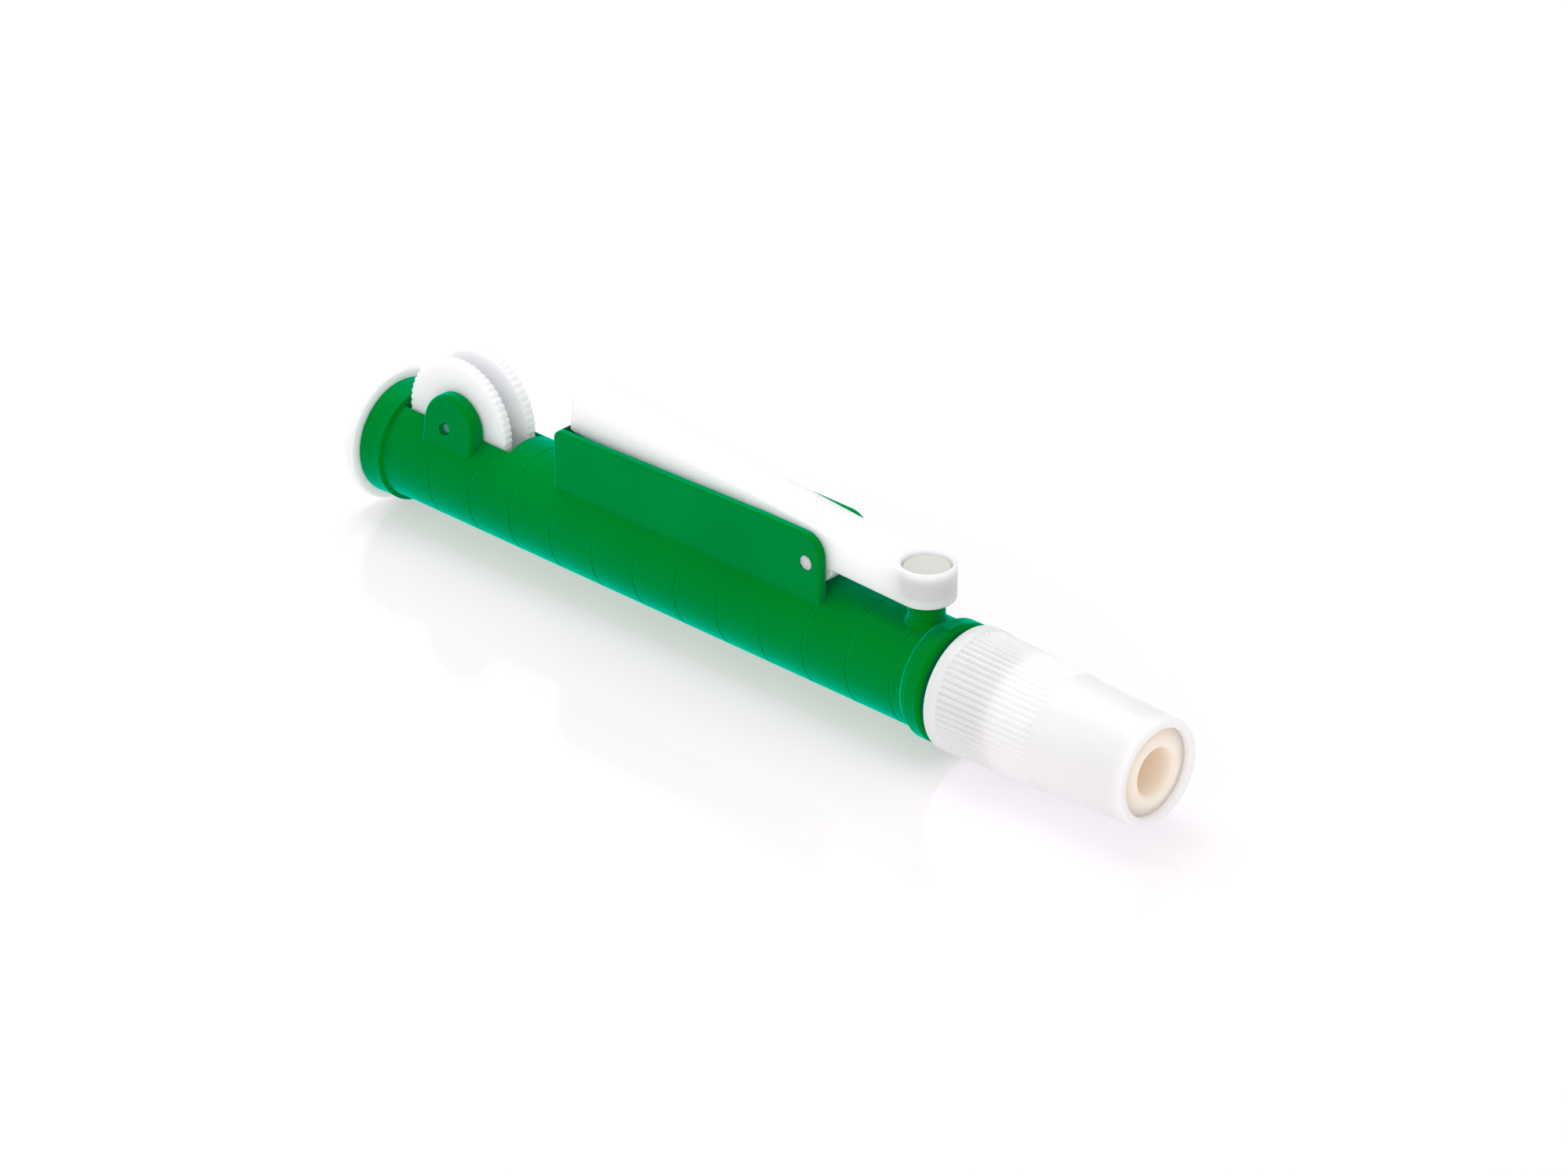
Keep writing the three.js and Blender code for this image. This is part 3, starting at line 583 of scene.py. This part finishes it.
def drive_pinion():
    root, tip = PITCH_R - TOOTH_DEDENDUM, PITCH_R + TOOTH_ADDENDUM
    radii = [root + (tip - root) * k / 8 for k in range(9)]
    flank = [(radius, gap_half_angle(radius)) for radius in radii]
    outline = []
    for tooth in range(PINION_TEETH):
        middle = -math.pi / 2 + 2 * math.pi * tooth / PINION_TEETH
        gap = [(r, middle - half) for r, half in reversed(flank)] + [(r, middle + half) for r, half in flank]
        outline += [(AXLE_X + r * math.cos(a), AXLE_Z + r * math.sin(a)) for r, a in gap]
    toothed = prism("pinion_gear", outline, -BLADE_HALF_WIDTH, BLADE_HALF_WIDTH)
    toothed = bevelled(toothed, width=0.12, segments=3, angle=50)
    hub_end = DISC_FAR_OUT - 0.2
    hexagon = [(AXLE_X + HUB_R * math.cos(a), AXLE_Z + HUB_R * math.sin(a)) for a in even_angles(6)]
    hub = bevelled(prism("hub", hexagon, -hub_end, hub_end), width=0.15, segments=3)
    gear = combined(toothed, "UNION", hub)
    return smooth(combined(gear, "DIFFERENCE", cross_hole("hole", AXLE_R + 0.05, (AXLE_X, AXLE_Z))))


def piston_head():
    nose_r, socket_r, socket_end = SEAL_SEAT_R + 1.4, STEM_R + 0.15, STEM_END + 0.3
    seat_start, seat_end = PISTON_REAR + 1.5, PISTON_FRONT - 2
    outline = rounded([
        (PISTON_REAR, socket_r, 0),
        (PISTON_REAR, PISTON_R, 0.3),
        (seat_start, PISTON_R, 0.3),
        (seat_start, SEAL_SEAT_R, 0),
        (seat_end, SEAL_SEAT_R, 0),
        (seat_end, nose_r, 0.2),
        (PISTON_FRONT, nose_r, 0.5),
        (PISTON_FRONT, 0, 0),
        (socket_end, 0, 0),
        (socket_end, socket_r, 0),
    ])
    return smooth(turned("piston", outline, even_angles(96)))


def piston_seal():
    inside, waist = SEAL_SEAT_R + 0.2, SEAL_R - 0.7
    lip, slope = 1.2, 0.5
    outline = rounded([
        (SEAL_REAR, inside, 0.1),
        (SEAL_REAR, SEAL_R, 0.35),
        (SEAL_REAR + lip, SEAL_R, 0.2),
        (SEAL_REAR + lip + slope, waist, 0.3),
        (SEAL_FRONT - lip - slope, waist, 0.3),
        (SEAL_FRONT - lip, SEAL_R, 0.2),
        (SEAL_FRONT, SEAL_R, 0.35),
        (SEAL_FRONT, inside, 0.1),
    ])
    return smooth(turned("lip_seal", outline, even_angles(96)))


# Lever.

def lever_heights(x):
    """The lever's lower and upper surface at x."""
    share = min(1, max(0, (LEVER_BEND - x) / (LEVER_BEND - LEVER_REAR)))
    low = LEVER_BOTTOM + (LEVER_REAR_BOTTOM - LEVER_BOTTOM) * share
    high = LEVER_TOP + (LEVER_REAR_TOP - LEVER_TOP) * share
    return low, high


def lever_bar():
    """The bar and its boss: a plan outline, drawn up between the two surfaces."""
    end_half, pivot_half = LEVER_REAR_HALF_WIDTH, LEVER_PIVOT_HALF_WIDTH
    lean_length = 9
    tangent = math.acos((BOSS_R - pivot_half) / (BOSS_X - LEVER_BEND))
    side = math.pi - tangent
    boss = [(BOSS_X + BOSS_R * math.cos(a), BOSS_R * math.sin(a))
            for a in [-side + 2 * side * k / 48 for k in range(49)]]
    rear = rounded([(LEVER_REAR, end_half, 1.6), (LEVER_REAR, -end_half, 1.6), (LEVER_BEND, -pivot_half, 0),
                    (LEVER_BEND, pivot_half, 0)], 8)
    outline = rear[:-1] + boss + rear[-1:]
    count = len(outline)
    points = []
    for level in (0, 1):
        for x, y in outline:
            near_rear = max(0, 1 - (x - LEVER_REAR) / lean_length)
            points.append((x + LEVER_REAR_LEAN * level * near_rear, y, lever_heights(x)[level]))
    bend = [i for i, (x, _) in enumerate(outline) if x == LEVER_BEND]
    faces = side_faces(count)
    front = list(range(bend[0], bend[1] + 1))
    back = list(range(bend[1], count)) + list(range(bend[0] + 1))
    for part in (front, back):
        faces += [tuple(part), tuple(count + i for i in part)]
    return bevelled(piece_of("lever_bar", points, faces), width=0.6, segments=5)


def lever():
    pivot, knuckle_edge = (PIN_X, PIN_Z), 0.5
    under = lever_heights(SPRING_X)[0]
    tip, root = under - SPRING_PEG_LENGTH, 22
    peg = rounded([(tip, 0, 0), (tip, SPRING_PEG_R, 0.3), (root, SPRING_PEG_R, 0), (root, 0, 0)])
    bar = combined(
        lever_bar(),
        "UNION",
        cross_pin("knuckle", KNUCKLE_HALF_LENGTH, KNUCKLE_R, knuckle_edge, pivot, even_angles(96)),
        turned("peg", peg, even_angles(32), "Z", (SPRING_X, 0)),
    )
    lip = 0.35
    recess = rounded([
        (LEVER_BOTTOM - 1, 0, 0),
        (LEVER_BOTTOM - 1, BOSS_LIP_R, 0),
        (BOSS_FLOOR_Z, BOSS_LIP_R, 0),
        (BOSS_FLOOR_Z, BOSS_BORE_R, 0),
        (LEVER_TOP - lip, BOSS_BORE_R, 0.3),
        (LEVER_TOP + lip, BOSS_BORE_R + 2 * lip, 0),
        (LEVER_TOP + 1, BOSS_BORE_R + 2 * lip, 0),
        (LEVER_TOP + 1, 0, 0),
    ])
    bar = combined(
        bar,
        "DIFFERENCE",
        turned("recess", recess, even_angles(96), "Z", (BOSS_X, 0)),
        cross_hole("pin_hole", PIN_R + 0.08, pivot),
    )
    bar.name = "release_lever_bar"
    return smooth(bar)


def pivot_pin():
    edge = 0.25
    return smooth(cross_pin("lever_pin", PIN_END, PIN_R, edge, (PIN_X, PIN_Z), even_angles(48)))


def valve_plug():
    _, _, (low, high) = span("vent_valve_plug")
    shoulder, head_r = BOSS_FLOOR_Z + 0.25, BOSS_BORE_R - 0.2
    outline = rounded([
        (low, 0, 0),
        (low, PLUG_R, 0.3),
        (shoulder, PLUG_R, 0),
        (shoulder, head_r, 0.1),
        (high, head_r, 0.5),
        (high - 0.25, 2.5, 2),
        (high - 0.3, 0, 0),
    ])
    return smooth(turned("valve_plug", outline, even_angles(96), "Z", (BOSS_X, 0)))


def return_spring():
    turns, wire = 4.5, 0.35
    steps = int(turns * 36)
    coil_r = (SPRING_X1 - SPRING_X0) / 2 - wire
    low, high = SPRING_LOW + wire, SPRING_HIGH - wire

    def section(i):
        share = i / steps
        angle = 2 * math.pi * turns * share
        z = low + (high - low) * share
        radial = [(coil_r + wire * math.cos(a), z + wire * math.sin(a)) for a in even_angles(12)]
        return [(SPRING_X + r * math.cos(angle), r * math.sin(angle), h) for r, h in radial]

    return smooth(swept("return_spring", steps + 1, section), angle=60)


# Chuck.

def chuck():
    base_round = 0.45
    outside = [
        (CHUCK_BASE, POCKET_R, 0.2),
        (CHUCK_BASE, CHUCK_RIM_R, base_round),
        (CHUCK_RIM_END, CHUCK_RIM_R - 0.02, 0.3),
        (CHUCK_RIM_END + 0.3, RIB_CREST_BASE_R + 0.06, 0),
        (CHUCK_RIM_END + 1.2, RIB_CREST_BASE_R, 0),
        (RIB_END - 12, 13.03, 0),
        (RIB_END - 0.8, RIB_CREST_END_R, 0),
        (RIB_END, CONE_START_R, 0),
        (RIB_END + 12, CONE_MIDDLE_R, 0),
        (CHUCK_TIP, CHUCK_TIP_R, 0.6),
        (CHUCK_TIP, MOUTH_R, 0.3),
        (POCKET_END, MOUTH_R, 0),
        (POCKET_END, POCKET_R, 0),
    ]
    ribs_start, ribs_stop = CHUCK_RIM_END + 0.2, RIB_END - 0.5

    def ribbed(x, radius, angle):
        if radius < POCKET_R + 0.5 or not ribs_start < x < ribs_stop:
            return radius
        groove = (0.5 + 0.5 * math.cos(RIB_COUNT * angle)) ** 2
        return radius - RIB_DEPTH * groove

    body = turned("chuck_nose", rounded(outside), even_angles(RIB_COUNT * 10), reshape=ribbed)
    return smooth(body, angle=40)


def chuck_insert():
    shoulder, edge_r = POCKET_END - 0.3, MOUTH_R - 0.12
    outline = rounded([
        (INSERT_REAR, SOCKET_HOLE_R, 0),
        (INSERT_REAR, INSERT_R, 0.2),
        (shoulder, INSERT_R, 0.2),
        (shoulder, edge_r, 0),
        (INSERT_EDGE, edge_r, 0.15),
        (INSERT_EDGE + 0.35, SOCKET_R + 2.6, 2),
        (INSERT_FRONT, SOCKET_R + 1, 0.8),
        (INSERT_FRONT - 0.6, SOCKET_R, 0.6),
        (INSERT_FRONT - SOCKET_DEPTH, SOCKET_THROAT_R, 2),
        (INSERT_FRONT - SOCKET_DEPTH - 5, SOCKET_HOLE_R, 0),
    ], 8)
    return smooth(turned("nose_socket", outline, even_angles(160)), angle=40)


# Materials.

def linked(tree, kind, **inputs):
    """A new node of that kind with its inputs set, each to a value or to another node's output."""
    node = tree.nodes.new(kind)
    for name, value in inputs.items():
        socket = node.inputs[name.replace("_", " ")]
        if isinstance(value, bpy.types.NodeSocket):
            tree.links.new(value, socket)
        else:
            socket.default_value = value
    return node


def moulded(name, light, deep, speck, roughness, grain):
    """A moulded plastic: slow colour drift, fine grain, tiny specks and uneven gloss."""
    material = bpy.data.materials.new(name)
    material.use_nodes = True
    tree = material.node_tree
    shader = tree.nodes["Principled BSDF"]
    place = tree.nodes.new("ShaderNodeTexCoord").outputs["Object"]
    drift = linked(tree, "ShaderNodeTexNoise", Vector=place, Scale=45.0, Detail=3.0)
    fine = linked(tree, "ShaderNodeTexNoise", Vector=place, Scale=2600.0, Detail=3.0)
    dust = linked(tree, "ShaderNodeTexNoise", Vector=place, Scale=1700.0, Detail=1.0)
    worn = linked(tree, "ShaderNodeTexNoise", Vector=place, Scale=260.0, Detail=4.0)

    blend = linked(tree, "ShaderNodeMapRange", Value=drift.outputs["Fac"], From_Min=0.3, From_Max=0.7)
    colour = tree.nodes.new("ShaderNodeMix")
    colour.data_type = "RGBA"
    tree.links.new(blend.outputs["Result"], colour.inputs["Factor"])
    colour.inputs["A"].default_value = (*deep, 1)
    colour.inputs["B"].default_value = (*light, 1)
    specks = linked(tree, "ShaderNodeMapRange", Value=dust.outputs["Fac"], From_Min=0.76, From_Max=0.84)
    dusted = tree.nodes.new("ShaderNodeMix")
    dusted.data_type = "RGBA"
    tree.links.new(specks.outputs["Result"], dusted.inputs["Factor"])
    tree.links.new(colour.outputs["Result"], dusted.inputs["A"])
    dusted.inputs["B"].default_value = (*speck, 1)
    tree.links.new(dusted.outputs["Result"], shader.inputs["Base Color"])

    gloss = linked(tree, "ShaderNodeMapRange", Value=worn.outputs["Fac"], From_Min=0.3, From_Max=0.7,
                   To_Min=roughness - 0.05, To_Max=roughness + 0.06)
    tree.links.new(gloss.outputs["Result"], shader.inputs["Roughness"])
    bump = linked(tree, "ShaderNodeBump", Height=fine.outputs["Fac"], Strength=grain, Distance=0.00004)
    tree.links.new(bump.outputs["Normal"], shader.inputs["Normal"])
    return material, shader


def green_plastic():
    material, shader = moulded("green_polypropylene", light=(0.0, 0.21, 0.006), deep=(0.0, 0.185, 0.003),
                               speck=(0.0, 0.42, 0.2), roughness=0.38, grain=0.5)
    shader.inputs["Metallic"].default_value = 0.1
    shader.inputs["Specular IOR Level"].default_value = 0.0
    shader.inputs["Specular Tint"].default_value = (0.0, 1.0, 0.75, 1)
    shader.inputs["Sheen Weight"].default_value = 1.0
    shader.inputs["Sheen Roughness"].default_value = 0.44
    shader.inputs["Sheen Tint"].default_value = (0.0, 1.0, 0.78, 1)
    return material


def translucent(shader, weight, radius, scale):
    shader.inputs["Subsurface Weight"].default_value = weight
    shader.inputs["Subsurface Radius"].default_value = radius
    shader.inputs["Subsurface Scale"].default_value = scale


def white_plastic(name="white_polypropylene", tone=1.0):
    light = (0.92 * tone, 0.92 * tone, 0.95 * tone)
    deep = (0.9 * tone, 0.9 * tone, 0.94 * tone)
    material, shader = moulded(name, light, deep, speck=(0.7, 0.7, 0.72), roughness=0.34, grain=0.35)
    translucent(shader, weight=0.8, radius=(1.0, 1.0, 1.0), scale=0.008)
    return material


def silicone():
    material, shader = moulded("silicone", light=(0.9, 0.77, 0.65), deep=(0.87, 0.74, 0.62),
                               speck=(0.85, 0.74, 0.64), roughness=0.45, grain=0.3)
    translucent(shader, weight=1.0, radius=(1.0, 0.9, 0.8), scale=0.012)
    # Painted light: the silicone glows a little, standing in for light coming through it that lightens its
    # shaded socket hole.
    shader.inputs["Emission Color"].default_value = (1.0, 0.78, 0.6, 1)
    shader.inputs["Emission Strength"].default_value = 0.1
    return material


def scaled(tone, share):
    return [share * c for c in tone]


def rubber(name, tone):
    deep, speck = scaled(tone, 0.92), scaled(tone, 1.1)
    material, _ = moulded(name, tone, deep, speck, roughness=0.55, grain=0.6)
    return material


def steel(name, tone, roughness):
    deep, speck = scaled(tone, 0.9), scaled(tone, 1.1)
    material, shader = moulded(name, tone, deep, speck, roughness, grain=0.4)
    shader.inputs["Metallic"].default_value = 1.0
    return material


def dress(piece, material):
    piece.data.materials.clear()
    piece.data.materials.append(material)


GREEN = green_plastic()
WHITE = white_plastic()
SILICONE = silicone()
PALE_RUBBER = rubber("pale_rubber", (0.62, 0.62, 0.58))
DARK_RUBBER = rubber("dark_rubber", (0.03, 0.03, 0.035))
STEEL = steel("bright_steel", (0.62, 0.64, 0.65), roughness=0.26)
# The axle's steel is rough and dull. Its dark blue-green tone is a painted reflection of the green barrel
# around it.
STEEL_PAINTED_GREEN_REFLECTION = steel("dull_steel_painted_green_reflection", (0.1, 0.3, 0.28), roughness=0.5)
PIN_WHITE = white_plastic("pin_plastic", tone=0.88)

# Pieces: what is built, the body it rides on, the node it stands for, its slot and its material.

PIECES = [
    (barrel(), "barrel_body", "barrel", "green_plastic", GREEN),
    (wheel_disc("thumbwheel_near_disc", DISC_NEAR_OUT, DISC_NEAR_IN), "wheel", "thumbwheel_near",
     "white_plastic", WHITE),
    (wheel_disc("thumbwheel_far_disc", DISC_FAR_IN, DISC_FAR_OUT), "wheel", "thumbwheel_far",
     "white_plastic", WHITE),
    (axle(), "wheel", "wheel_axle", "steel", STEEL_PAINTED_GREEN_REFLECTION),
    (drive_pinion(), "wheel", "drive_pinion", "white_plastic", WHITE),
    (plunger_rod(), "plunger", "plunger_rod", "white_plastic", WHITE),
    (plunger_cap(), "plunger", "plunger_cap", "white_plastic", WHITE),
    (piston_head(), "plunger", "piston_head", "white_plastic", WHITE),
    (piston_seal(), "plunger", "piston_seal", "dark_rubber", DARK_RUBBER),
    (lever(), "lever", "release_lever", "white_plastic", WHITE),
    (pivot_pin(), "barrel_body", "lever_pivot_pin", "pin_plastic", PIN_WHITE),
    (valve_plug(), "lever", "vent_valve_plug", "grey_rubber", PALE_RUBBER),
    (return_spring(), "barrel_body", "lever_return_spring", "steel", STEEL),
    (chuck(), "nose", "chuck", "white_plastic", WHITE),
    (chuck_insert(), "nose_insert", "chuck_insert", "silicone", SILICONE),
]
for made, body, node, slot, material in PIECES:
    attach(made, body)
    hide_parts(node)
    dress(made, material)

SPRING_SEAT = at(0, 0, SPRING_LOW)
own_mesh(bpy.data.objects["return_spring"])


# Floor, light and camera.

def floor():
    mesh = bpy.data.meshes.new("studio_floor")
    half = 6
    corners = [(-half, -half, 0), (half, -half, 0), (half, half, 0), (-half, half, 0)]
    mesh.from_pydata(corners, [], [(0, 1, 2, 3)])
    sheet = bpy.data.objects.new("studio_floor", mesh)
    bpy.context.scene.collection.objects.link(sheet)
    material = bpy.data.materials.new("white_acrylic")
    material.use_nodes = True
    shader = material.node_tree.nodes["Principled BSDF"]
    shader.inputs["Base Color"].default_value = (0.50, 0.455, 0.49, 1)
    shader.inputs["Roughness"].default_value = 0.1
    shader.inputs["IOR"].default_value = 1.6
    shader.inputs["Emission Color"].default_value = (1, 1, 1, 1)
    shader.inputs["Emission Strength"].default_value = 0.46
    dress(sheet, material)


def softbox(name, direction, distance, size, power):
    """A square area light that faces the middle of the pump."""
    lamp = bpy.data.lights.new(name, "AREA")
    lamp.shape = "SQUARE"
    lamp.size = size
    lamp.energy = power
    holder = bpy.data.objects.new(name, lamp)
    way = Vector(direction).normalized()
    holder.location = way * distance
    holder.rotation_mode = "QUATERNION"
    holder.rotation_quaternion = way.to_track_quat("Z", "Y")
    bpy.context.scene.collection.objects.link(holder)


def sky():
    """A white tent, dimmer towards the horizon."""
    world = bpy.data.worlds.new("tent")
    world.use_nodes = True
    tree = world.node_tree
    ground = tree.nodes["Background"]
    way = tree.nodes.new("ShaderNodeTexCoord").outputs["Generated"]
    height = linked(tree, "ShaderNodeSeparateXYZ", Vector=way).outputs["Z"]
    level = linked(tree, "ShaderNodeMapRange", Value=height, From_Min=0.05, From_Max=0.75,
                   To_Min=0.66, To_Max=0.8)
    tree.links.new(level.outputs["Result"], ground.inputs["Strength"])
    ground.inputs["Color"].default_value = (1, 1, 1, 1)
    bpy.context.scene.world = world


def camera():
    """Looks down from the nose's side, so that the nose is nearest and lower right."""
    azimuth, elevation = math.radians(43.438), math.radians(28.278)
    lens = 178.12
    distance, shift_right, shift_up = 1.6119, 0.0051, -0.0060
    back = Vector((
        math.sin(azimuth) * math.cos(elevation),
        -math.cos(azimuth) * math.cos(elevation),
        math.sin(elevation),
    ))
    right = Vector((math.cos(azimuth), math.sin(azimuth), 0))
    up = back.cross(right)
    lens_data = bpy.data.cameras.new("view")
    lens_data.lens = lens
    eye = bpy.data.objects.new("view", lens_data)
    centre = (cad_low + cad_high) / 2
    eye.location = centre + right * shift_right + up * shift_up + back * distance
    eye.rotation_mode = "QUATERNION"
    eye.rotation_quaternion = Matrix((right, up, back)).transposed().to_quaternion()
    bpy.context.scene.collection.objects.link(eye)
    bpy.context.scene.camera = eye


floor()
sky()
softbox("overhead", (-0.4, 0.15, 0.95), distance=1.6, size=1.1, power=10.5)
softbox("front", (0.05, -0.9, 0.4), distance=1.8, size=1.4, power=5)
softbox("fill", (0.75, -0.6, 0.35), distance=2.0, size=1.4, power=6)
camera()
bpy.context.scene.view_settings.view_transform = "Standard"
